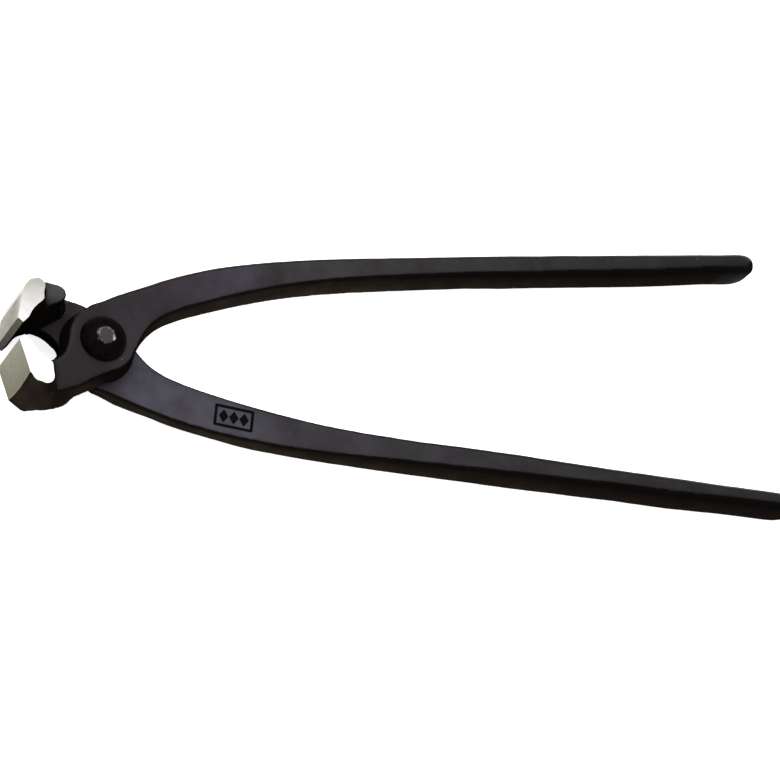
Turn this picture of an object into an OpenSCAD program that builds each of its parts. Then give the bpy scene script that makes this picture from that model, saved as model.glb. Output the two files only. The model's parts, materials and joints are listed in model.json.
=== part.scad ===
// Rebar pincers: two equal forged halves that cross at a lap joint and turn on one rivet.
// Millimetres. The origin is at the middle of the tool's length, on its centre line and
// in the plane where the halves meet. +X runs to the handle ends, +Y to the front half's
// handle and +Z out of the front face.
// A half is shaped round the rivet's axis as it lies with the cutting edges closed on
// y = 0: its jaw below the X axis, its handle above it, its lap face down and its outer
// face up.

/* [Overall] */
// Distance from the rivet to the end of a handle
handle_reach = 225; // [190:1:260]
// Angle between the halves as drawn, 0 where the cutting edges meet
open_angle = 8.8; // [0.5:0.1:30]

/* [Joint] */
// Thickness of a half where it laps the other
lap_t = 6; // [5.4:0.1:7]
// Hub radius at the lap face
hub_r = 11.2; // [10.4:0.1:12]
// Free space between the two lap faces
lap_gap = 0.1; // [0.05:0.01:0.2]
// Radius of the rivet's shank
shank_r = 4; // [3:0.1:5]
// Radial clearance of the shank in the front half, which turns on it
running_clear = 0.05; // [0.02:0.01:0.09]
// Free space between the front half and the rivet's front head
head_gap = 0.05; // [0.02:0.01:0.15]
// Radius of both rivet heads
head_r = 6.7; // [6:0.1:8]
// Height of the domed front head
dome_h = 3; // [2:0.1:3.5]
// Radius of the flat on top of the dome
dome_flat_r = 2.2; // [1.2:0.1:3]
// Height of the lower rear head
rear_head_h = 2.1; // [1.4:0.1:3]

/* [Jaws] */
// Distance from the rivet to the cutting edge
edge_reach = 24.45; // [23.8:0.05:26]
// Width of the jaws across the tool
jaw_width = 20.4; // [18.4:0.1:24]
// How far the outer bevel runs back from the cutting edge, along X
bevel_run = 1.45; // [1:0.05:2]
// How far the outer bevel runs back from the cutting edge, along Y
bevel_rise = 1.2; // [0.8:0.05:1.8]
// Height of a jaw's ground sides, from the cutting edge to the rounded back
jaw_height = 14.5; // [13.6:0.1:16]
// Thickness of a jaw, from the cutting edge back towards the rivet
jaw_thick = 6.75; // [6:0.05:7.5]
// How far the jaw's back bulges beyond its ground sides
back_crown = 3; // [1:0.1:3.5]
// How far the lug behind a jaw reaches past the lap face, beside the other hub
lug_depth = 7.6; // [6:0.1:9]

/* [Handles] */
// Height of the grip's outer side over the closed centre line, carried back to the rivet
grip_outer = 25.4; // [22:0.1:30]
// Height of the grip's inner side over the closed centre line, carried back to the rivet
grip_inner = 17; // [14:0.1:18]
// Depth of the handle at its end, across the tool
grip_depth = 13; // [10:0.1:15]
// Radius of the handle's long edges at its end
grip_edge_r = 2.6; // [1.6:0.1:2.7]
// Radius of the handle's long edges at the joint
root_edge_r = 0.8; // [0.4:0.1:1.2]
// How much wider each side is at the lap face than at the outer face
forge_draft = 0.7; // [0.2:0.1:1]
// Length of the rounded handle end
tip_len = 7; // [4:0.5:10]

/* [Hidden] */
forged_black = [0.2, 0.19, 0.21];
rivet_black = [0.12, 0.12, 0.12];

lap_z = lap_gap / 2;
face_z = lap_z + lap_t;
// The hub and the web narrow towards the outer face, whose edge is rounded
hub_draft = 1.3;
face_edge_r = 0.5;
post_draft = 1.3;
// The back of a jaw, where it faces the hub
jaw_back_x = jaw_thick - edge_reach;
back_round = 2.3;
// The crown swells the back most in the middle of the jaw, and pushes it towards the hub
crown_power = 1.5;
crown_push = 0.4;
// Ground outer face of a jaw: it leans in by this much and stops short of the rounded back
face_lean = 0.15;
face_stop = 3;
// Hollow inside a jaw: its lowest point at the ground sides, the point it bends towards,
// and its other end behind the cutting edge
hollow_y = -8.6;
hollow_bend = [-3.7, 2.4];
edge_land = [1.8, -1.9];
// The hollow is fuller by this much in the middle of the jaw, and less where it bends
hollow_fill = [2.3, 3.1];
fill_power = 4;
fill_share = 0.45;

// The web starts inside the jaw. At its outer face the low edge runs this far below the
// jaw's ground sides, and at the lap face it follows the crown.
web_start_x = jaw_back_x - 1.5;
web_crown = 0.7;
// Height of its inner edge at the outer face, and how much higher it is at the lap face
web_inner_y = -5.3;
web_inner_rise = 1;
// The web keeps this far inside the hub's wall
hub_inset = 0.1;
// Where the low edge bends, how far that moves at the lap face, and the same for the
// angle at which it meets the hub
low_bend = [-5, 2.4];
low_bend_lap = [-9.5, -2.8];
low_turn = -58;
low_turn_lap = -30;
// Angles at which the web's outline leaves the hub's far side and its inner edge joins it
far_turn = 140;
inner_turn = 165;
inner_bend = [-10.9, 0.6];
inner_bend_lap = [-0.4, 0];

// Posts of the lug: along X from the jaw's back, up from the jaw's low side, and radius
lug_posts = [[3.8, 3.2, 2.4], [-0.3, 6.1, 1.8], [-0.7, 2.1, 2]];
// How deep the lug is rooted in its own half
lug_root = 2;

// Low wall of a rivet head before it turns over, and the bevel of the rear head
head_rim = 0.4;
rear_turn = 0.8;
rear_bevel = 1.8;

// The outer side rises by this much per millimetre of length, the inner side by more
outer_lean = 0.005;
inner_lean = 0.018;
// The bow between joint and grip: how far it drops to the joint, and over what length
bow_drop = 13.4;
bow_len = 29.3;
bow_power = 1.33;
shoulder_slope = 0.62;
// The inner side bends in two stages: the long belly and the tight throat
belly_drop = 11.8;
belly_len = 47.8;
throat_x = 9;
throat_drop = 11.2;
throat_len = 5.5;
throat_floor = -4.5;
// Where along the handle its thickness, centring and draft change
swell_start = 18;
swell_len = 62;
centred_from = 20;
centred_to = 120;
draft_start = 10;
draft_end = 140;
edge_start = 40;
handle_start = -5;
// How full the rounded handle end stays: 1 is a half circle, less is blunter
tip_power = 0.7;

// X of a point of the closed half once the halves stand open as drawn
function opened_x(p) = p[0] * cos(open_angle / 2) - p[1] * sin(open_angle / 2);

// The rivet stands this far from the middle of the tool's length, to a tenth
far_end_x = opened_x([handle_reach, (grip_outer + grip_inner) / 2]);
near_end_x = opened_x([-edge_reach - bevel_run, -bevel_rise]);
pivot_x = -round(10 * (far_end_x + near_end_x) / 2) / 10;

function ease(x, a, b) =
    let (u = min(1, max(0, (x - a) / (b - a))))
    u * u * (3 - 2 * u);

// Outer and inner side of the handle, midway between its two faces
function outer_y(x) =
    grip_outer + outer_lean * x
    - bow_drop * exp(-pow(max(x, 0) / bow_len, bow_power))
    + shoulder_slope * min(x, 0);
function inner_y(x) =
    max(throat_floor,
        grip_inner + inner_lean * x
        - belly_drop * exp(-pow(max(x, 0) / belly_len, 2))
        - throat_drop * exp(-(x - throat_x) / throat_len));

// Depth of the handle: the lap thickness at the joint, growing along the grip
function swell(x) =
    let (u = max(0, x - swell_start))
    u * u / (u * u + swell_len * swell_len);
function depth(x) = lap_t + (grip_depth - lap_t) * swell(x) / swell(handle_reach);

// Middle of that depth: on the half's own side at the joint, central in the grip
function mid_z(x) =
    let (u = min(1, max(0, (x - centred_from) / (centred_to - centred_from))))
    (lap_z + lap_t / 2) * (1 - u) * (1 - u);

function side_draft(x) = forge_draft * (1 - ease(x, draft_start, draft_end));
function edge_r(x) =
    root_edge_r + (grip_edge_r - root_edge_r) * ease(x, edge_start, handle_reach);

// One corner of a handle section: an arc of 5 points round its centre, in [y, z]
function corner(y, z, r, start) =
    [for (i = [0:4]) [y + r * cos(start + i * 22.5), z + r * sin(start + i * 22.5)]];

// Section of the handle at x, shrunk about its middle by size near the end
function section(x, size) =
    let (
        d = side_draft(x),
        r = edge_r(x),
        mid_y = (outer_y(x) + inner_y(x)) / 2,
        half_w = (outer_y(x) - inner_y(x)) / 2,
        half_t = depth(x) / 2,
        top = half_w - d - r,
        low = half_w + d - r,
        ring = concat(
            corner(top, half_t - r, r, 0),
            corner(-top, half_t - r, r, 90),
            corner(-low, r - half_t, r, 180),
            corner(low, r - half_t, r, 270)))
    [for (p = ring) [x, mid_y + size * p[0], mid_z(x) + size * p[1]]];

// Stations along the handle as [x, size], closest together where it bends most
function stations() = concat(
    [for (x = [handle_start:1:24]) [x, 1]],
    [for (x = [26:2:60]) [x, 1]],
    [for (x = [64:4:handle_reach - tip_len - 2]) [x, 1]],
    [for (a = [0:14:84]) [handle_reach - tip_len * (1 - sin(a)), pow(cos(a), tip_power)]]);

// Triangles that close a ring of n points, from rungs between its opposite sides
function cap(n) =
    [for (i = [0:floor((n - 3) / 2)])
        let (j = n - 2 - i)
        each concat(i + 1 == j ? [] : [[i, i + 1, j]], [[i, j, j + 1]])];

// Solid skin over a list of equal rings that follow one another along +X or +Z
module skin(rings) {
    n = len(rings[0]);
    top = (len(rings) - 1) * n;
    polyhedron(
        points = [for (ring = rings) each ring],
        faces = concat(
            cap(n),
            [for (f = cap(n)) [top + f[2], top + f[1], top + f[0]]],
            [for (k = [0:n:top - n], i = [0:n - 1])
                let (j = (i + 1) % n)
                each [
                    [k + i, k + n + i, k + n + j],
                    [k + i, k + n + j, k + j]]]));
}

module handle() {
    skin([for (s = stations()) section(s[0], s[1])]);
}

// Upright forged post with its wide end towards the lap face
module post(x, y, r, from_z, to_z, draft = post_draft) {
    translate([x, y, from_z])
        cylinder(r1 = r + draft, r2 = r, h = to_z - from_z, $fn = 32);
}

module hub() {
    translate([0, 0, lap_z])
        rotate_extrude($fn = 96)
            polygon([
                [0, 0],
                [hub_r, 0],
                [hub_r - hub_draft, lap_t - face_edge_r],
                [hub_r - hub_draft - face_edge_r, lap_t],
                [0, lap_t]]);
}

// Points of a curve that leaves a for c and bends towards b
function bend(a, b, c, steps) =
    [for (i = [0:steps])
        let (t = i / steps)
        (1 - t) * (1 - t) * a + 2 * t * (1 - t) * b + t * t * c];

// Plan of the web between hub and jaw: wide is 0 at the outer face and 1 at the lap face,
// and inset draws it in where the edge is rounded
function web_plan(wide, inset) =
    let (
        r = hub_r - hub_draft * (1 - wide) - inset - hub_inset,
        turn = low_turn + low_turn_lap * wide,
        low_y = inset - jaw_height - web_crown * (1 - wide) - back_crown * wide,
        inner_y = web_inner_y + web_inner_rise * wide - inset)
    concat(
        bend(
            [web_start_x, low_y],
            [0, low_y] + low_bend + wide * low_bend_lap,
            r * [cos(turn), sin(turn)],
            8),
        [for (i = [1:7])
            let (a = turn + (far_turn - turn) * i / 7)
            r * [cos(a), sin(a)]],
        bend(
            r * [cos(inner_turn), sin(inner_turn)],
            [0, inner_y] + inner_bend + wide * inner_bend_lap,
            [web_start_x, inner_y],
            8));

// Flat web from the hub to the jaw
module web() {
    levels = [[lap_z, 1, 0], [face_z - face_edge_r, 0, 0], [face_z, 0, face_edge_r]];
    skin([for (l = levels) [for (p = web_plan(l[1], l[2])) [p[0], p[1], l[0]]]]);
}

// Round-nosed lug behind the jaw, on the side where the other half's hub lies
module lug() {
    mirror([0, 0, 1])
        hull() {
            for (p = lug_posts)
                post(jaw_back_x + p[0], p[1] - jaw_height, p[2], -lug_root, lug_depth);
        }
}

// Section of the jaw at a share u of its half width: ground edge, bevel and outer face,
// which are the same all across, then the crowned back and the hollow inside
function jaw_section(u) =
    let (
        edge = [-edge_reach, 0],
        bevel = edge - [bevel_run, bevel_rise],
        face_end = [face_lean - edge_reach, face_stop - jaw_height],
        bulge = back_crown * (1 - pow(abs(u), crown_power)),
        fill = (1 - pow(u, fill_power)) * hollow_fill,
        back = [jaw_back_x - back_round, back_round - jaw_height],
        in_end = [jaw_back_x, hollow_y],
        in_bend = in_end + hollow_bend + fill_share * fill,
        in_edge = edge + edge_land)
    concat(
        [edge, bevel, face_end],
        [for (a = [225:15:360])
            back
            + back_round * [cos(a), sin(a)]
            + bulge * [crown_push + cos(a) / 2, sin(a)]],
        bend(in_end + fill, in_bend, in_edge, 8));

module jaw() {
    skin([for (i = [-6:6])
        let (u = sin(15 * i))
        [for (p = jaw_section(u)) [p[0], p[1], u * jaw_width / 2]]]);
    lug();
}

// One forging, bored for the rivet
module half(bore_r) {
    difference() {
        union() {
            handle();
            hub();
            web();
            jaw();
        }
        translate([0, 0, -1])
            cylinder(r = bore_r, h = face_z + 2, $fn = 64);
    }
}

// The half whose outer face is the front of the tool
module front_half() {
    color(forged_black)
        translate([pivot_x, 0, 0])
            rotate([0, 0, open_angle / 2])
                half(shank_r + running_clear);
}

// The same forging turned over, tight on the rivet
module rear_half() {
    color(forged_black)
        translate([pivot_x, 0, 0])
            rotate([180, 0, 0])
                rotate([0, 0, open_angle / 2])
                    half(shank_r);
}

// Shank with a domed front head and a lower rear head
module rivet() {
    head_z = face_z + head_gap;
    color(rivet_black)
        translate([pivot_x, 0, 0])
            rotate_extrude($fn = 96)
                polygon(concat(
                    [[0, -face_z - rear_head_h]],
                    [[head_r - rear_turn - rear_bevel, -face_z - rear_head_h]],
                    [[head_r - rear_turn, -face_z - rear_head_h + rear_turn]],
                    [[head_r, -face_z - head_rim], [head_r, -face_z]],
                    [[shank_r, -face_z], [shank_r, head_z], [head_r, head_z]],
                    [for (a = [0:10:90])
                        [dome_flat_r + (head_r - dome_flat_r) * cos(a),
                         head_z + head_rim + (dome_h - head_rim) * sin(a)]],
                    [[0, head_z + dome_h]]));
}

rear_half();
front_half();
rivet();
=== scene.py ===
import json
import math

import bmesh
import bpy
import numpy as np
from mathutils import Matrix, Vector, noise


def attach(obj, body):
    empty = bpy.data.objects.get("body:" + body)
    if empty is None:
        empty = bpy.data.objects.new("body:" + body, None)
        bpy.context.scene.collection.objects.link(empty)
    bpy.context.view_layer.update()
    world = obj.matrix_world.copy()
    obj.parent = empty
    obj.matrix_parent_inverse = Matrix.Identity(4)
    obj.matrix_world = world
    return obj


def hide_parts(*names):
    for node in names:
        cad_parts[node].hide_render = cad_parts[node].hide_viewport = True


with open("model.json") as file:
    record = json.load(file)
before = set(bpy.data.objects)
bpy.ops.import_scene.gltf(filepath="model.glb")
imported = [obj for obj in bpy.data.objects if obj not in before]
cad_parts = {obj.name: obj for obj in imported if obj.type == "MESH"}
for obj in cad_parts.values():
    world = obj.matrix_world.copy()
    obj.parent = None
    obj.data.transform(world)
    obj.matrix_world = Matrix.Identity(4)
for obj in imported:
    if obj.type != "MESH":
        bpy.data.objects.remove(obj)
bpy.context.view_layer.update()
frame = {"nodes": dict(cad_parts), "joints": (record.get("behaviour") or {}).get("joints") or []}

MM = 0.001
PIVOT = Vector(frame["joints"][0]["pos_m"])
HALF_OPEN = math.radians(4.4)
VOXEL = 0.36
SHARP = math.radians(40)

# A half is worked on in millimetres round the rivet, lying with its cutting edge closed
# on y = 0, its lap face down and its outer face up. These bring it to its place.
PLACE = {
    "front_half": Matrix.Translation(PIVOT)
    @ Matrix.Rotation(HALF_OPEN, 4, "Z")
    @ Matrix.Scale(MM, 4),
    "rear_half": Matrix.Translation(PIVOT)
    @ Matrix.Rotation(math.pi, 4, "X")
    @ Matrix.Rotation(HALF_OPEN, 4, "Z")
    @ Matrix.Scale(MM, 4),
}

# Finishes of a half, in the order of its materials
FLAT, DRAFTED, FACE_STEEL, BEVEL_STEEL, SIDE_STEEL, WEB_LAP = range(6)

# Long edges of the jaw's ground faces, as x and y
CUTTING_EDGE = (-24.45, 0)
FACE_TOP = (-25.9, -1.2)
FACE_FOOT = (-24.3, -11.5)
JAW_HALF = 10.2

# Ground planes of a jaw, as point, outward normal and finish
BEVEL = ((*CUTTING_EDGE, 0), (-0.6376, 0.7704, 0), BEVEL_STEEL)
FACE = ((*FACE_TOP, 0), (-0.988, -0.1535, 0), FACE_STEEL)
CORNER = ((-24.65, -9.3, 0), (-0.9215, -0.3875, 0), SIDE_STEEL)
SIDES = tuple(((0, 0, s * JAW_HALF), (0, 0, s), SIDE_STEEL) for s in (1, -1))

# Spare metal for the grinding: how far those edges move out, and the jaw's half width then
SPARE = ((CUTTING_EDGE, (-1.03, 1.09)), (FACE_TOP, (-1.4, 0.3)), (FACE_FOOT, (-0.93, 1.17)))
SPARE_HALF = 11.6

# Lap face, and the root of the lug on it: middle and radius of the lug's three posts
LAP_Z = 0.05
LUG = (((-13.9, -11.3), 3.43), ((-18.0, -8.4), 2.83), ((-18.4, -12.4), 3.03))
LUG_MIDDLE = (-15.5, -10.7)
# How far round the lug's root the web gets the drafted sides' near black, as painted shade
LUG_SHADE = 5.1

# Fillet at that root: the shares of its width at which it has a ring, how far it starts
# inside the lug, its two widths, and how far its foot goes into the half
FILLET_RINGS = (0, 0.06, 0.16, 0.3, 0.48, 0.7, 1)
FILLET_SIDES = 72
FILLET_START = -0.1
FILLET_WIDE = 0.9
FILLET_NARROW = 0.4
FILLET_FOOT = 1.5
# Its narrow side: the direction of the middle and the half spread, in degrees
NARROW_TOWARDS = 39
NARROW_SPREAD = 75

# Bore: the radius that it keeps clear, and the one inside which a vertex is on its wall
BORE_CLEAR = 4.15
BORE_WALL = 4.6

# Waves of the forged faces, as height and length
WAVES = ((0.10, 14), (0.05, 5), (0.018, 1.7))

# Stations along the handle at which its sides are found, and how far each one reaches
STATIONS = np.arange(12.0, 224.0, 2.0)
STATION_REACH = 1.5

# How far the handle's sides lie off the true line, at a distance from the rivet. The
# outer sides lie further out by this, and the inner sides further in.
FRONT_OUTER = (
    ((-6, 0), (-2, -0.1), (1, 0.2), (6, 0.6), (12, 0.35), (17, 0.15), (24, 0.3), (36, 0.5))
    + ((55, 0.3), (85, 0.1), (100, 0))
)
FRONT_INNER = (
    ((125, 0), (136, 0.29), (149, 0.44), (163, 0.65), (176, 0.87), (183, 0.98))
    + ((196, 0.87), (203, 0.7), (209, 0.65), (216, 0.9))
)
REAR_OUTER = (
    ((-6, 0), (0, 1.0), (3.5, 1.5), (6.5, 1.7), (9.5, 1.3), (12, 1.0), (18, 0.6), (24, 0.7))
    + ((36, 0.4), (48, 0.5), (60, 0.22), (85, 0), (165, 0), (182, 0.3), (200, 0))
)
REAR_INNER = ((95, 0), (115, 0.4), (130, 0.5), (145, 0.3), (160, 0.1), (215, 0.1))

# Mark on the rear half: a stamped frame round three plain lozenges, pressed into the face
# beside the lap. Its middle, its half size, its turn, and the half size of the patch that
# it is pressed into.
MARK_AT = (40.25, 17.0)
MARK_HALF = (5.35, 2.95)
MARK_TURN = math.radians(7.8)
MARK_PATCH = (6.4, 4.4)
# Its line, and its lozenges: their middles, their half size, the share of it at which
# they start to go down, and how steeply they do
LINE_HALF = 0.42
LINE_DEPTH = 0.32
LOZENGES = (-3, 0, 3)
LOZENGE_HALF = (1.3, 1.9)
LOZENGE_START = 1.08
LOZENGE_STEEP = 3.5
# The ground inside the frame is pressed down a little, over this width beside the line.
GROUND_DEPTH = 0.06
GROUND_SLOPE = 0.8
# Scale is left where the stamp is deeper than this; its finish makes it near black there, as
# painted shade of the recess.
SCALE_SHADE_DEPTH = 0.15


def add_object(name, data):
    """A new object in the scene."""
    o = bpy.data.objects.new(name, data)
    bpy.context.scene.collection.objects.link(o)
    return o


# Mesh tools


def smooth(x, a, b):
    """Rises softly from 0 at a to 1 at b."""
    t = np.clip((x - a) / (b - a), 0, 1)
    return t * t * (3 - 2 * t)


def band(x, a, b, c, d):
    """Rises softly from 0 at a to 1 at b, and falls from 1 at c back to 0 at d."""
    return smooth(x, a, b) * (1 - smooth(x, c, d))


def noise_at(pts, scale, seed):
    """Soft noise of about -1 to 1 at each point, with features of about scale."""
    off = Vector((seed * 17.3, seed * 5.1, seed * 9.7))
    k = 1 / scale
    return np.array([noise.noise(Vector(p) * k + off) for p in pts])


def points(me):
    """The places of a mesh's vertices, one in each row."""
    co = np.empty(len(me.vertices) * 3)
    me.vertices.foreach_get("co", co)
    return co.reshape(-1, 3)


def set_points(me, co):
    me.vertices.foreach_set("co", co.ravel())
    me.update()


def normals(me):
    n = np.empty(len(me.vertices) * 3, np.float32)
    me.vertex_normals.foreach_get("vector", n)
    return n.reshape(-1, 3).astype(float)


def face_vectors(me, what):
    """The normal or the center of each face."""
    v = np.empty(len(me.polygons) * 3, np.float32)
    me.polygons.foreach_get(what, v)
    return v.reshape(-1, 3)


def relax(me, rounds, share):
    """Moves each vertex towards the middle of its neighbours, by a share that may differ
    from one vertex to the next."""
    share = np.broadcast_to(share, (len(me.vertices),))[:, None]
    e = np.empty(len(me.edges) * 2, np.int32)
    me.edges.foreach_get("vertices", e)
    a, b = e.reshape(-1, 2).T
    co = points(me)
    n = len(co)
    count = np.bincount(a, minlength=n) + np.bincount(b, minlength=n)
    count = np.maximum(count, 1)
    for _ in range(rounds):
        mid = np.empty_like(co)
        for k in range(3):
            mid[:, k] = np.bincount(a, co[b, k], n) + np.bincount(b, co[a, k], n)
        co += share * (mid / count[:, None] - co)
    set_points(me, co)


def remesh(me, voxel):
    """The same solid as an even mesh of small quads."""
    o = add_object("work", me)
    m = o.modifiers.new("even", "REMESH")
    m.mode = "VOXEL"
    m.voxel_size = voxel
    m.use_smooth_shade = True
    dg = bpy.context.evaluated_depsgraph_get()
    out = bpy.data.meshes.new_from_object(o.evaluated_get(dg))
    bpy.data.objects.remove(o)
    return out


# Forged halves


def fillet_ring(bm, share, foot):
    """One ring of the fillet, at a share of its width and as much as foot further up."""
    ring = []
    for i in range(FILLET_SIDES):
        turn = i * 360 / FILLET_SIDES
        u = Vector((math.cos(math.radians(turn)), math.sin(math.radians(turn))))
        aside = (turn - NARROW_TOWARDS + 180) % 360 - 180
        wide = FILLET_NARROW if abs(aside) < NARROW_SPREAD else FILLET_WIDE
        (x, y), r = max(LUG, key=lambda p: p[0][0] * u.x + p[0][1] * u.y + p[1])
        out = r + FILLET_START + share * wide
        high = wide * (1 - math.sqrt(1 - (1 - share) ** 2))
        ring.append(bm.verts.new((x + out * u.x, y + out * u.y, LAP_Z - high + foot)))
    return ring


def add_fillet(bm):
    """A closed skirt round the lug's root, hollow in section. It stays narrow on the side
    that the other half comes near when it opens."""
    rings = [fillet_ring(bm, share, 0) for share in FILLET_RINGS]
    rings.append(fillet_ring(bm, 1, FILLET_FOOT))
    for a, b in zip(rings, rings[1:]):
        for i in range(FILLET_SIDES):
            j = (i + 1) % FILLET_SIDES
            bm.faces.new((a[i], a[j], b[j], b[i]))
    bm.faces.new(rings[0][::-1])
    bm.faces.new(rings[-1])


def stock(node):
    """A CAD half in closed millimetres, with spare metal outside its ground faces."""
    me = frame["nodes"][node].data.copy()
    me.transform(PLACE[node].inverted())
    bm = bmesh.new()
    bm.from_mesh(me)
    bmesh.ops.remove_doubles(bm, verts=bm.verts, dist=0.002)
    add_fillet(bm)
    bm.to_mesh(me)
    bm.free()
    co = points(me)
    for (x, y), move in SPARE:
        here = np.hypot(co[:, 0] - x, co[:, 1] - y) < 0.03
        co[here, :2] += move
    ground = np.abs(co[:, 2]) > JAW_HALF - 0.01
    co[ground, 2] = np.sign(co[ground, 2]) * SPARE_HALF
    set_points(me, co)
    return me


def dress_handle(co, outer, inner):
    """Moves the handle's sides along y, as their tables say."""
    x, y, z = co.T
    rows = [(g, y[np.abs(x - g) < STATION_REACH]) for g in STATIONS]
    at, top, low = zip(*[(g, row.max(), row.min()) for g, row in rows if len(row)])
    top, low = np.interp(x, at, top), np.interp(x, at, low)
    side = (y - (top + low) / 2) / ((top - low) / 2)
    # By the joint the outer side moves only above the lap.
    free = np.maximum(smooth(z, -1, 4.5), smooth(x, 45, 75))
    move = np.interp(x, *zip(*outer)) * smooth(side, 0.1, 0.9) * free
    move -= np.interp(x, *zip(*inner)) * smooth(-side, 0.1, 0.9)
    co[:, 1] += np.where(x > outer[0][0], move, 0)


def thin_back(co):
    """Brings the jaw's back closer to its face on the lap side."""
    x, y, z = co.T
    back = band(x, -21, -18.5, -16, -14) * smooth(-y, 6.8, 8.8)
    lap_side = smooth(-z, 6, 9)
    move = 0.5 + 0.45 * smooth(y, -12, -10)
    co[:, 0] -= move * back * lap_side


def fill_corner(co):
    """Fills out the jaw's low corner, away from the lap."""
    full = 0.65
    half_wide = 1.9
    # From the corner inwards
    ux, uy = 0.65, 0.76
    dx, dy = co[:, 0] + 22.8, co[:, 1] + 12.8
    aside = dx * uy - dy * ux
    inside = dx * ux + dy * uy
    share = np.clip(1 - (aside / half_wide) ** 2, 0, 1) ** 1.5
    share *= (1 - smooth(inside, 0.5, 2.5)) * smooth(co[:, 2], 2, 8)
    co[:, 0] -= ux * full * share
    co[:, 1] -= uy * full * share


def lean_lug(co):
    """Makes the lug fuller towards its end than its draft does, and leans it outwards."""
    full = 0.45
    lean = 0.25
    dx, dy = co[:, 0] - LUG_MIDDLE[0], co[:, 1] - LUG_MIDDLE[1]
    far = np.hypot(dx, dy)
    lug = band(far, 0.8, 2, 5.5, 7) * smooth(co[:, 0], -18, -16.5)
    share = lug * smooth(-co[:, 2], 2.5, 7)
    far = np.maximum(far, 1e-6)
    co[:, 0] += full * share * dx / far
    co[:, 1] += full * share * dy / far - lean * share


def wear_corner(co):
    """Rounds the jaw's low corner off, and wears its foot away on the lap side."""
    # From the corner inwards, with the corner cut off this far from the rivet
    ux, uy = 0.809, 0.588
    start = 25.95
    soft = 0.5
    foot_wear = 0.4
    over = np.maximum(-ux * co[:, 0] - uy * co[:, 1] - start, 0)
    cut = (over - soft * (1 - np.exp(-over / soft))) * (over < 3)
    co[:, 0] += ux * cut
    co[:, 1] += uy * cut
    co[:, 1] += foot_wear * smooth(-co[:, 1], 12.5, 14.5) * smooth(-co[:, 2], 5, 9)


def bow_web(co, sag, bulged):
    """Moves the web off the true line by sag. Where it is bulged, its back by the lap moves
    further, and over a shorter length."""
    x, y, z = co.T
    off_hub = smooth(np.hypot(x, y), 9.8, 12)
    web = off_hub * smooth(z, -5, 0) * (1 - smooth(y, 1, 4))
    share = band(x, -22.5, -17, -10, -3) * (1 - smooth(z, 7, 10))
    if bulged:
        bulge = 1.45 * band(x, -22.5, -15.5, -13.2, -8.8)
        by_lap = smooth(-y, 9.5, 12) * (1 - smooth(z, 2, 6))
        share += (bulge - share) * by_lap
    co[:, 1] += sag * share * web


def waves(co, seed):
    """Height of the waves at each point. The lap face of the hub, the seats of the rivet's
    heads, the bore and the cutting edge have none."""
    x, y, z = co.T
    off_lap = np.where(x > 15, 1, smooth(z, 0.3, 1.2))
    off_hub = smooth(np.hypot(x, y), 7.4, 9.6)
    off_edge = smooth(np.hypot(x - CUTTING_EDGE[0], y), 0.3, 2.2)
    beyond_hub = (z < 0.3) & (x < -12)
    free = np.where(beyond_hub, 1, off_lap * off_hub) * off_edge
    lift = sum(h * noise_at(co, size, seed + i) for i, (h, size) in enumerate(WAVES))
    return lift * free


def clear_bore(co):
    """Keeps the bore's wall off the rivet's shank."""
    x, y, z = co.T
    r = np.hypot(x, y)
    wall = (r < BORE_WALL) & (z > -1) & (z < 7)
    grow = np.where(wall, np.maximum(BORE_CLEAR / np.maximum(r, 1e-6), 1), 1)
    co[:, :2] *= grow[:, None]


def forge(me, seed, sag, outer, inner, worn):
    """Gives the even mesh the soft corners and the slightly wavy faces of a forging."""
    relax(me, 5, 0.5)
    # The handle is softer than the head.
    relax(me, 14, 0.5 * smooth(points(me)[:, 0], 10, 20))
    co = points(me)
    dress_handle(co, outer, inner)
    thin_back(co)
    fill_corner(co)
    lean_lug(co)
    if worn:
        wear_corner(co)
    bow_web(co, sag, bulged=not worn)
    set_points(me, co)
    co += normals(me) * waves(co, seed)[:, None]
    clear_bore(co)
    set_points(me, co)


def mark_depth(x, y):
    """How deep the stamp goes at a point of the face."""
    dx, dy = x - MARK_AT[0], y - MARK_AT[1]
    c, s = math.cos(MARK_TURN), math.sin(MARK_TURN)
    u, v = dx * c + dy * s, dy * c - dx * s
    qx, qy = np.abs(u) - MARK_HALF[0], np.abs(v) - MARK_HALF[1]
    away = np.hypot(np.maximum(qx, 0), np.maximum(qy, 0)) + np.minimum(np.maximum(qx, qy), 0)
    groove = np.clip(1 - (np.abs(away) / LINE_HALF) ** 2, 0, 1)
    for middle in LOZENGES:
        pad = np.abs(u - middle) / LOZENGE_HALF[0] + np.abs(v) / LOZENGE_HALF[1]
        sunk = np.clip((LOZENGE_START - pad) * LOZENGE_STEEP, 0, 1)
        groove = np.maximum(groove, sunk)
    ground = np.clip(-away / GROUND_SLOPE, 0, 1) * GROUND_DEPTH
    return LINE_DEPTH * groove + ground


def on_mark(p, normal):
    """Whether a point of the rear half lies in the flat patch that the mark is pressed into."""
    near = abs(p.x - MARK_AT[0]) < MARK_PATCH[0] and abs(p.y - MARK_AT[1]) < MARK_PATCH[1]
    return near and p.z < 0 and normal.z < -0.8


def stamp(me):
    """Presses the mark into a finer patch of the mesh, and leaves scale at its bottom. Its
    finish makes that bottom near black, as painted shade of the recess.
    """
    bm = bmesh.new()
    bm.from_mesh(me)
    faces = [f for f in bm.faces if on_mark(f.calc_center_median(), f.normal)]
    edges = list({e for f in faces for e in f.edges})
    bmesh.ops.subdivide_edges(bm, edges=edges, cuts=3, use_grid_fill=True)
    bm.normal_update()
    for v in bm.verts:
        if on_mark(v.co, v.normal):
            v.co.z += float(mark_depth(v.co.x, v.co.y))
    for f in bm.faces:
        m = f.calc_center_median()
        if on_mark(m, f.normal):
            rough = 0.07 * noise.noise(m * 1.3) + 0.05 * noise.noise(m * 4)
            if mark_depth(m.x, m.y) > SCALE_SHADE_DEPTH + rough:
                f.material_index = DRAFTED
    bm.to_mesh(me)
    bm.free()


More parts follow.
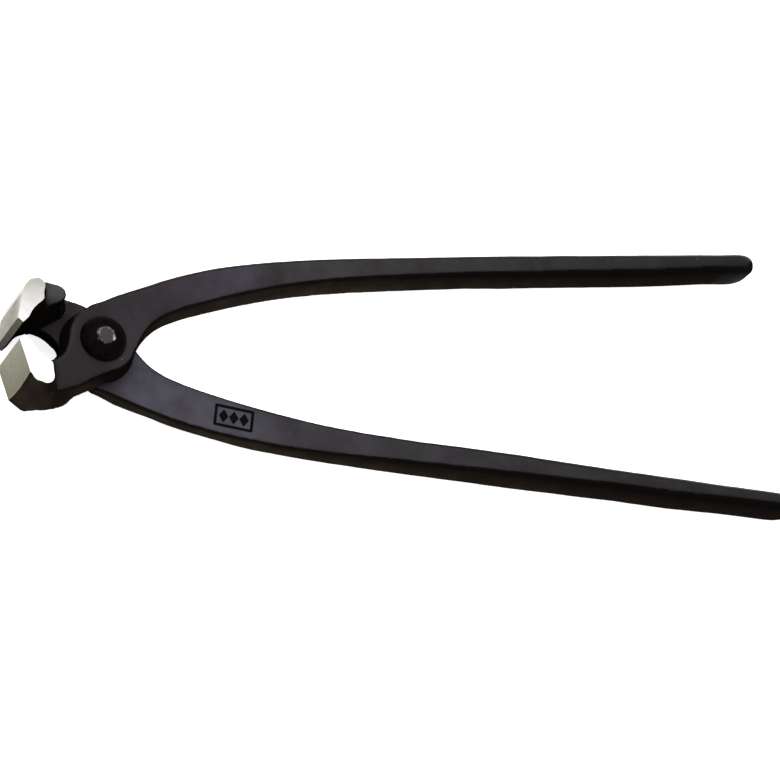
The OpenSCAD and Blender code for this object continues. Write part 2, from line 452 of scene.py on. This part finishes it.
def grind(me, planes):
    """Cuts the mesh off at each plane and closes it with one flat bare face."""
    bm = bmesh.new()
    bm.from_mesh(me)
    for co, no, finish in planes:
        cut = bmesh.ops.bisect_plane(
            bm,
            geom=bm.verts[:] + bm.edges[:] + bm.faces[:],
            dist=1e-5,
            plane_co=co,
            plane_no=no,
            clear_outer=True,
        )
        edges = [e for e in cut["geom_cut"] if isinstance(e, bmesh.types.BMEdge)]
        rim = [e for e in edges if e.is_boundary]
        made = bmesh.ops.edgeloop_fill(bm, edges=rim, mat_nr=finish)
        for f in made["faces"]:
            f.smooth = False
            f.normal_update()
            if f.normal.dot(Vector(no)) < 0:
                f.normal_flip()
    bm.to_mesh(me)
    bm.free()


def coat(me, sign):
    """Gives the drafted sides their own duller finish, and the web's lap face a third, darker as
    painted shade. A corner that faces +Y in the tool keeps the lighter lacquer of the flat faces
    further round, as a painted highlight, and the web all round the lug gets the drafted sides'
    near black, as painted shade. The sign tells where +Y is."""
    n = face_vectors(me, "normal")
    at = face_vectors(me, "center")
    index = np.empty(len(me.polygons), np.int32)
    me.polygons.foreach_get("material_index", index)
    # A face that lies less flat than its limit counts as a side.
    # On the +Y side the limit is lower, so the lacquer reaches further round as a painted
    # highlight.
    limit = np.where(n[:, 1] * sign > 0, 0.6, 0.93)
    index[(index == FLAT) & (np.abs(n[:, 2]) < limit)] = DRAFTED
    lap = (index == FLAT) & (np.abs(at[:, 2]) < 1.2) & (n[:, 2] < -0.9)
    web = lap & (at[:, 0] < -3)
    (ax, ay), (bx, by) = LUG[0][0], LUG[1][0]
    dx, dy = at[:, 0] - ax, at[:, 1] - ay
    share = (dx * (bx - ax) + dy * (by - ay)) / ((bx - ax) ** 2 + (by - ay) ** 2)
    share = np.clip(share, 0, 1)
    gap = np.hypot(dx - share * (bx - ax), dy - share * (by - ay))
    # Near the lug the web takes the drafted sides' near black, as painted shade.
    index[web] = np.where(gap[web] < LUG_SHADE, DRAFTED, WEB_LAP)
    me.polygons.foreach_set("material_index", index)


def half(node, finishes, seed, sag, outer, inner):
    """The shown mesh of a half, made from its CAD node and riding with it."""
    rear = node == "rear_half"
    me = remesh(stock(node), VOXEL)
    me.materials.clear()
    for m in finishes:
        me.materials.append(m)
    forge(me, seed, sag, outer, inner, worn=rear)
    if rear:
        stamp(me)
    grind(me, (BEVEL, FACE) + ((CORNER,) if rear else ()) + SIDES)
    coat(me, -1 if rear else 1)
    me.transform(PLACE[node])
    me.update()
    me.set_sharp_from_angle(angle=SHARP)
    me.name = node + "_forged"
    o = add_object(node + "_forged", me)
    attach(o, node)
    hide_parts(node)


# Materials


class Nodes:
    """Short way to write a material's nodes."""

    def __init__(self, name):
        self.mat = bpy.data.materials.new(name)
        self.mat.use_nodes = True
        self.tree = self.mat.node_tree
        self.bsdf = self.tree.nodes["Principled BSDF"]
        self.place = self.add("ShaderNodeTexCoord").outputs["Object"]

    def add(self, kind, **values):
        n = self.tree.nodes.new(kind)
        for k, v in values.items():
            setattr(n, k, v)
        return n

    def link(self, a, b):
        self.tree.links.new(a, b)

    def feed(self, socket, value):
        """Links a socket's value, or writes a plain one."""
        if isinstance(value, bpy.types.NodeSocket):
            self.link(value, socket)
        else:
            socket.default_value = value

    def noise(self, scale, detail=3.0, rough=0.5, stretch=None):
        n = self.add("ShaderNodeTexNoise")
        n.inputs["Scale"].default_value = scale
        n.inputs["Detail"].default_value = detail
        n.inputs["Roughness"].default_value = rough
        at = self.place
        if stretch:
            m = self.add("ShaderNodeMapping")
            m.inputs["Scale"].default_value = stretch
            self.link(at, m.inputs["Vector"])
            at = m.outputs["Vector"]
        self.link(at, n.inputs["Vector"])
        return n.outputs["Fac"]

    def ramp(self, value, *stops):
        n = self.add("ShaderNodeValToRGB")
        while len(n.color_ramp.elements) < len(stops):
            n.color_ramp.elements.new(0.5)
        for e, (at, c) in zip(n.color_ramp.elements, stops):
            e.position = at
            e.color = (c, c, c, 1) if isinstance(c, (int, float)) else (*c, 1)
        self.link(value, n.inputs["Fac"])
        return n.outputs["Color"]

    def mix(self, share, a, b):
        """The values a and b, mixed by a share of b. A colour has three numbers."""
        n = self.add("ShaderNodeMix", data_type="RGBA")
        self.feed(n.inputs[0], share)
        for socket, value in ((n.inputs[6], a), (n.inputs[7], b)):
            self.feed(socket, (*value, 1) if isinstance(value, tuple) else value)
        return n.outputs[2]

    def math(self, how, *values):
        n = self.add("ShaderNodeMath", operation=how)
        for socket, value in zip(n.inputs, values):
            self.feed(socket, value)
        return n.outputs[0]

    def vector(self, how, *values):
        n = self.add("ShaderNodeVectorMath", operation=how)
        for socket, value in zip(n.inputs, values):
            self.feed(socket, value)
        return n.outputs

    def bump(self, height, distance, strength):
        n = self.add("ShaderNodeBump")
        n.inputs["Distance"].default_value = distance
        n.inputs["Strength"].default_value = strength
        self.link(height, n.inputs["Height"])
        self.link(n.outputs["Normal"], self.bsdf.inputs["Normal"])


def along(k, axis, *stops):
    """Value or colour by the distance from the rivet along an axis of the tool, in
    millimetres."""
    m = k.add("ShaderNodeSeparateXYZ")
    k.link(k.place, m.inputs[0])
    r = k.add("ShaderNodeMapRange")
    middle = PIVOT["XYZ".index(axis)]
    start, end = stops[0][0], stops[-1][0]
    r.inputs["From Min"].default_value = middle + start * MM
    r.inputs["From Max"].default_value = middle + end * MM
    k.link(m.outputs[axis], r.inputs["Value"])
    return k.ramp(r.outputs[0], *[((x - start) / (end - start), c) for x, c in stops])


def region(k, x_stops, y_stops):
    """The product of what the stops say along X and along Y."""
    return k.math("MULTIPLY", along(k, "X", *x_stops), along(k, "Y", *y_stops))


def upward(k):
    """The upward part of the surface's normal, from -1 to 1."""
    g = k.add("ShaderNodeNewGeometry")
    m = k.add("ShaderNodeSeparateXYZ")
    k.link(g.outputs["Normal"], m.inputs[0])
    return m.outputs["Z"]


def lacquer(name, *tones, lug=None, gloss=0.12):
    """Lacquered flat faces of a forging: slate with clouds and a few tiny chips, with tones
    along the handle that are painted light and shade, and dark towards the corners as a painted
    dark reflection. The lug may have tones of its own, painted shade."""
    plum = (0.014, 0.006, 0.009)
    shade = (0.005, 0.004, 0.005)
    chip = (0.16, 0.13, 0.13)
    corner = (0.0022, 0.0018, 0.0018)
    k = Nodes(name)
    b = k.bsdf.inputs
    b["Specular IOR Level"].default_value = gloss
    cloud = k.noise(110, 4, 0.6)
    patch = k.noise(45, 3, 0.55)
    fine = k.noise(1100, 2)
    chips = k.noise(620, 1)
    # Tones along the handle: painted light and shade
    base = along(k, "X", *tones)
    if lug:
        there = region(k, ((-9, 1), (-6, 0)), ((9, 0), (12, 1)))
        base = k.mix(there, base, along(k, "X", *lug))
    base = k.mix(k.ramp(patch, (0.5, 0.0), (0.68, 0.6)), base, plum)
    base = k.mix(k.ramp(cloud, (0.35, 0.4), (0.6, 0.0)), base, shade)
    base = k.mix(k.ramp(chips, (0.79, 0.0), (0.81, 0.5)), base, chip)
    # Painted dark reflection on the rounded corners of the flat faces
    flat = k.math("ABSOLUTE", upward(k))
    edge = k.math("ADD", flat, k.math("MULTIPLY", k.math("SUBTRACT", fine, 0.5), 0.02))
    base = k.mix(k.ramp(edge, (0.94, 1.0), (0.985, 0.0)), base, corner)
    k.link(base, b["Base Color"])
    k.link(k.ramp(cloud, (0.3, 0.34), (0.75, 0.5)), b["Roughness"])
    k.bump(k.mix(0.35, cloud, fine), 0.00012, 0.5)
    return k.mat


def scale_and_shade(name, *tones):
    """Drafted sides: dull brown scale, with light and shade painted on it: brightest by the
    lower corners, near black by the upper corners and by the joint, and tones along the handle
    that are painted light too. The tones may end in a painted reflection on the handle's end."""
    unlit = (0.0032, 0.0031, 0.0026)
    joint_shade = (0.0026, 0.0026, 0.0022)
    shade = (0.004, 0.003, 0.003)
    k = Nodes(name)
    b = k.bsdf.inputs
    b["Specular IOR Level"].default_value = 0.0
    cloud = k.noise(140, 4, 0.6)
    # 0 where the side faces down, 1 where it faces up
    turn = k.math("MULTIPLY_ADD", upward(k), 0.5, 0.5)
    # Painted shade: darker as the side turns up towards its upper corner
    sharp = k.ramp(turn, (0.5, 1.0), (0.62, 0.75), (0.76, 0.3), (0.9, 0.1))
    soft = k.ramp(turn, (0.42, 1.0), (0.5, 0.7), (0.57, 0.3), (0.68, 0.1))
    lit = k.mix(along(k, "X", (70, 0.0), (110, 1.0)), sharp, soft)
    # Painted light: lighter towards the low side, nearer the floor
    low = along(k, "Z", (-5, 1.0), (-1, 0.65), (2, 0.36), (4, 0.3))
    low = k.mix(along(k, "X", (25, 0.0), (60, 1.0)), (1.0, 1.0, 1.0), low)
    base = k.mix(k.math("MULTIPLY", lit, low), unlit, along(k, "X", *tones))
    # Painted shade by the joint
    joint = region(k, ((8, 0.9), (14, 0.0)), ((-14, 0.0), (-11, 1.0)))
    base = k.mix(joint, base, joint_shade)
    base = k.mix(k.ramp(cloud, (0.4, 0.4), (0.62, 0.0)), base, shade)
    k.link(base, b["Base Color"])
    k.link(k.ramp(cloud, (0.3, 0.5), (0.75, 0.65)), b["Roughness"])
    k.bump(cloud, 0.00015, 0.5)
    return k.mat


def steel(name, axis, *stops):
    """Ground steel: fine scratches along the grind, with faint clouds and stains. Its tone along
    an axis is painted light and shade.
    """
    smudge = (0.02, 0.018, 0.012)
    k = Nodes(name)
    b = k.bsdf.inputs
    b["Metallic"].default_value = 1
    grain = k.noise(700, 3, 0.6, (0.06, 1, 1))
    cloud = k.noise(260, 4, 0.6)
    stain = k.noise(150, 3, 0.6)
    base = along(k, axis, *stops)
    dark = k.mix(0.22, base, smudge)
    base = k.mix(k.ramp(cloud, (0.35, 0.6), (0.65, 0.0)), base, dark)
    base = k.mix(k.ramp(stain, (0.58, 0.0), (0.75, 0.7)), base, dark)
    k.link(base, b["Base Color"])
    k.link(k.ramp(grain, (0.3, 0.37), (0.7, 0.49)), b["Roughness"])
    k.bump(grain, 0.00002, 0.6)
    return k.mat


def rivet_black():
    """Near-black dome whose flat is painted grey as a painted reflection, and a rim that is worn
    bright on two sides.
    """
    dome_r = 4.0
    ragged = 1.3
    flat_reflection_grey = (0.045, 0.042, 0.042)
    bright = (0.6, 0.58, 0.56)
    k = Nodes("rivet_black")
    b = k.bsdf.inputs
    b["Specular IOR Level"].default_value = 0.012
    cloud = k.noise(500, 3, 0.6)
    wear = k.noise(380, 4, 0.7)
    # Distance from the rivet's axis as a share of the dome's radius, with a ragged outline
    away = k.vector("SUBTRACT", k.place, tuple(PIVOT))[0]
    away = k.vector("MULTIPLY", away, (1 / MM, 1 / MM, 0))[0]
    r = k.vector("LENGTH", away)["Value"]
    r = k.math("ADD", r, k.math("MULTIPLY", k.math("SUBTRACT", wear, 0.5), ragged))
    r = k.math("DIVIDE", r, dome_r)
    crown = k.ramp(r, (0.55, 1.0), (0.68, 0.0))
    rim = k.ramp(r, (0.44, 0.0), (0.56, 1.0), (0.6, 1.0), (0.72, 0.0))
    worn = k.math("MULTIPLY", rim, k.ramp(cloud, (0.45, 0.0), (0.56, 1.0)))
    left = region(k, ((-1.6, 1), (0, 0)), ((0, 1), (1.2, 0)))
    right = region(k, ((1.4, 0), (2.2, 1)), ((0, 1), (1, 0)))
    side = k.math("MAXIMUM", left, right)
    worn = k.math("MULTIPLY", worn, k.math("MAXIMUM", side, 0.15))
    base = k.ramp(cloud, (0.3, (0.0008, 0.0006, 0.0006)), (0.7, (0.004, 0.0025, 0.0025)))
    # The flat's grey is a painted reflection
    base = k.mix(crown, base, flat_reflection_grey)
    base = k.mix(worn, base, bright)
    k.link(base, b["Base Color"])
    k.link(k.math("MULTIPLY", worn, 0.7), b["Metallic"])
    k.link(k.ramp(cloud, (0.3, 0.35), (0.7, 0.5)), b["Roughness"])
    k.bump(k.mix(0.5, cloud, wear), 0.00008, 0.6)
    return k.mat


def floor_white():
    """Matt white. What the camera and the reflections see of it is lifted to white, so
    that the shadow on it stays faint."""
    lift = 0.76
    k = Nodes("floor_white")
    b = k.bsdf.inputs
    b["Specular IOR Level"].default_value = 0.0
    tone = k.ramp(k.noise(6, 2), (0.3, 0.93), (0.7, 0.95))
    k.link(tone, b["Base Color"])
    b["Roughness"].default_value = 0.9
    rays = k.add("ShaderNodeLightPath").outputs
    seen = k.math("MAXIMUM", rays["Is Camera Ray"], rays["Is Glossy Ray"])
    seen = k.math("MAXIMUM", seen, rays["Is Transmission Ray"])
    b["Emission Color"].default_value = (1, 1, 1, 1)
    k.link(k.math("MULTIPLY", seen, lift), b["Emission Strength"])
    return k.mat


# Tones of the two halves' flat faces along the handle are painted light and shade: lightest a
# little way out from the joint, darker by the joint and towards the handle ends. The rear lug's
# own tones darken it towards the jaw, as painted shade.
FRONT = lacquer(
    "forged_black_front",
    (-30, (0.010, 0.006, 0.009)),
    (0, (0.012, 0.008, 0.010)),
    (8, (0.022, 0.017, 0.022)),
    (22, (0.026, 0.020, 0.027)),
    (45, (0.035, 0.031, 0.042)),
    (60, (0.032, 0.029, 0.033)),
    (120, (0.0225, 0.0215, 0.0235)),
    (165, (0.0180, 0.0178, 0.0185)),
    (220, (0.0095, 0.0095, 0.0100)),
)
REAR = lacquer(
    "forged_black_rear",
    (-30, (0.005, 0.003, 0.004)),
    (-6, (0.010, 0.007, 0.010)),
    (12, (0.050, 0.046, 0.062)),
    (35, (0.049, 0.045, 0.061)),
    (60, (0.029, 0.026, 0.031)),
    (130, (0.0230, 0.0220, 0.0245)),
    (220, (0.0110, 0.0108, 0.0112)),
    lug=((-17, (0.027, 0.025, 0.023)), (-13, (0.048, 0.048, 0.050))),
)
# The web's lap face, darker as painted shade of the recess between the lug and the hub
SHADED_WEB = lacquer(
    "forged_black_web_shaded",
    (-30, (0.016, 0.012, 0.013)),
    (-10, (0.022, 0.018, 0.019)),
    (-3, (0.042, 0.038, 0.040)),
    gloss=0.03,
)
# Drafted sides' tones along the handle: brown scale with painted light, lighter along the middle
# of the handle and darker towards the joint and the ends
FRONT_SIDE = scale_and_shade(
    "scale_and_shade_front",
    (-30, (0.024, 0.018, 0.013)),
    (14, (0.022, 0.018, 0.013)),
    (40, (0.040, 0.032, 0.025)),
    (60, (0.054, 0.041, 0.030)),
    (100, (0.044, 0.033, 0.024)),
    (134, (0.032, 0.024, 0.018)),
    (168, (0.025, 0.018, 0.014)),
    (207, (0.018, 0.014, 0.011)),
    # Painted reflection on the handle's end
    (213, (0.044, 0.042, 0.040)),
    (219, (0.105, 0.105, 0.100)),
)
REAR_SIDE = scale_and_shade(
    "scale_and_shade_rear",
    (-30, (0.024, 0.018, 0.013)),
    (20, (0.022, 0.018, 0.013)),
    (60, (0.029, 0.023, 0.015)),
    (100, (0.030, 0.023, 0.016)),
    (134, (0.030, 0.022, 0.0165)),
    (168, (0.025, 0.018, 0.014)),
    (201, (0.020, 0.0145, 0.0115)),
)
# Ground faces: lit and shaded copies of one ground steel, each with its tone and gradient
# painted for the light and reflections that it shows
SIDE_LIT = steel("ground_side_lit", "Y", (-15, (0.78, 0.775, 0.76)), (0, (0.84, 0.84, 0.83)))
SIDE_SHADED = steel("ground_side_shaded", "Y", (4, (0.62, 0.61, 0.60)), (14, (0.35, 0.345, 0.31)))
OLIVE_SHADED = steel("ground_olive_shaded", "Y", (-12, (0.110, 0.103, 0.067)), (-2, (0.157, 0.151, 0.104)))
# The rear bevel is near black as a painted dark reflection
BEVEL_SHADED = steel("ground_bevel_shaded", "Z", (-8, (0.012, 0.009, 0.005)), (9, (0.040, 0.035, 0.021)))
FACE_LIT_AND_SHADED = steel(
    "ground_face_lit_and_shaded",
    "Z",
    (-8, (0.138, 0.118, 0.070)),
    (4, (0.069, 0.059, 0.032)),
    (7.5, (0.129, 0.117, 0.076)),
    (10, (0.27, 0.255, 0.195)),
)

# Pieces

FRONT_FINISHES = (FRONT, FRONT_SIDE, OLIVE_SHADED, OLIVE_SHADED, SIDE_LIT, SHADED_WEB)
REAR_FINISHES = (REAR, REAR_SIDE, FACE_LIT_AND_SHADED, BEVEL_SHADED, SIDE_SHADED, SHADED_WEB)
half("front_half", FRONT_FINISHES, seed=1, sag=-1.0, outer=FRONT_OUTER, inner=FRONT_INNER)
half("rear_half", REAR_FINISHES, seed=4, sag=1.0, outer=REAR_OUTER, inner=REAR_INNER)

RIVET = rivet_black()
for s in frame["nodes"]["rivet"].material_slots:
    s.material = RIVET

# Floor, tilted so that the tool lies on it with its jaws and its handle ends

FLOOR_HALF = 4
FLOOR_GAP = Vector((0, 0, -0.03 * MM))
UNDER_JAW = PIVOT + Vector((-0.0176, 0, -0.0102))
UNDER_HANDLE = PIVOT + Vector((0.222, 0, -0.0065))
fall = UNDER_HANDLE - UNDER_JAW
tilt = Matrix.Rotation(-math.atan2(fall.z, fall.x), 4, "Y")
me = bpy.data.meshes.new("floor")
bm = bmesh.new()
bmesh.ops.create_grid(
    bm,
    x_segments=8,
    y_segments=8,
    size=FLOOR_HALF,
    matrix=Matrix.Translation(UNDER_JAW + FLOOR_GAP) @ tilt,
)
bm.to_mesh(me)
bm.free()
me.materials.append(floor_white())
add_object("floor", me)

# Light: an even bright surround, and one large softbox high on the jaws' side

world = bpy.data.worlds.new("studio")
bpy.context.scene.world = world
world.use_nodes = True
surround = world.node_tree.nodes["Background"].inputs
surround["Color"].default_value = (1, 1, 1, 1)
surround["Strength"].default_value = 0.9

lamp = bpy.data.lights.new("softbox", "AREA")
lamp.shape = "RECTANGLE"
lamp.size, lamp.size_y = 0.9, 0.7
lamp.energy = 9
softbox = add_object("softbox", lamp)
softbox.location = (-0.3, 0.5, 1.1)
softbox.rotation_euler = (-softbox.location).to_track_quat("-Z", "Y").to_euler()

# Camera at the photograph's place: its own directions to the right and to the back, what
# it looks at, and how far off it stands

RIGHT = Vector((0.9057, -0.1229, 0.4059)).normalized()
BACK = Vector((-0.4213, -0.3707, 0.8277)).normalized()
AIM = PIVOT + Vector((0.08986, -0.00825, 0))
DISTANCE = 0.8553
right = (RIGHT - RIGHT.dot(BACK) * BACK).normalized()
turn = Matrix((right, BACK.cross(right), BACK)).transposed().to_4x4()
lens = bpy.data.cameras.new("camera")
lens.sensor_fit = "HORIZONTAL"
lens.sensor_width = 36
lens.lens = 135.11
lens.clip_start = 0.05
camera = add_object("camera", lens)
camera.matrix_world = Matrix.Translation(AIM + DISTANCE * BACK) @ turn
bpy.context.scene.camera = camera
bpy.context.scene.view_settings.view_transform = "Standard"
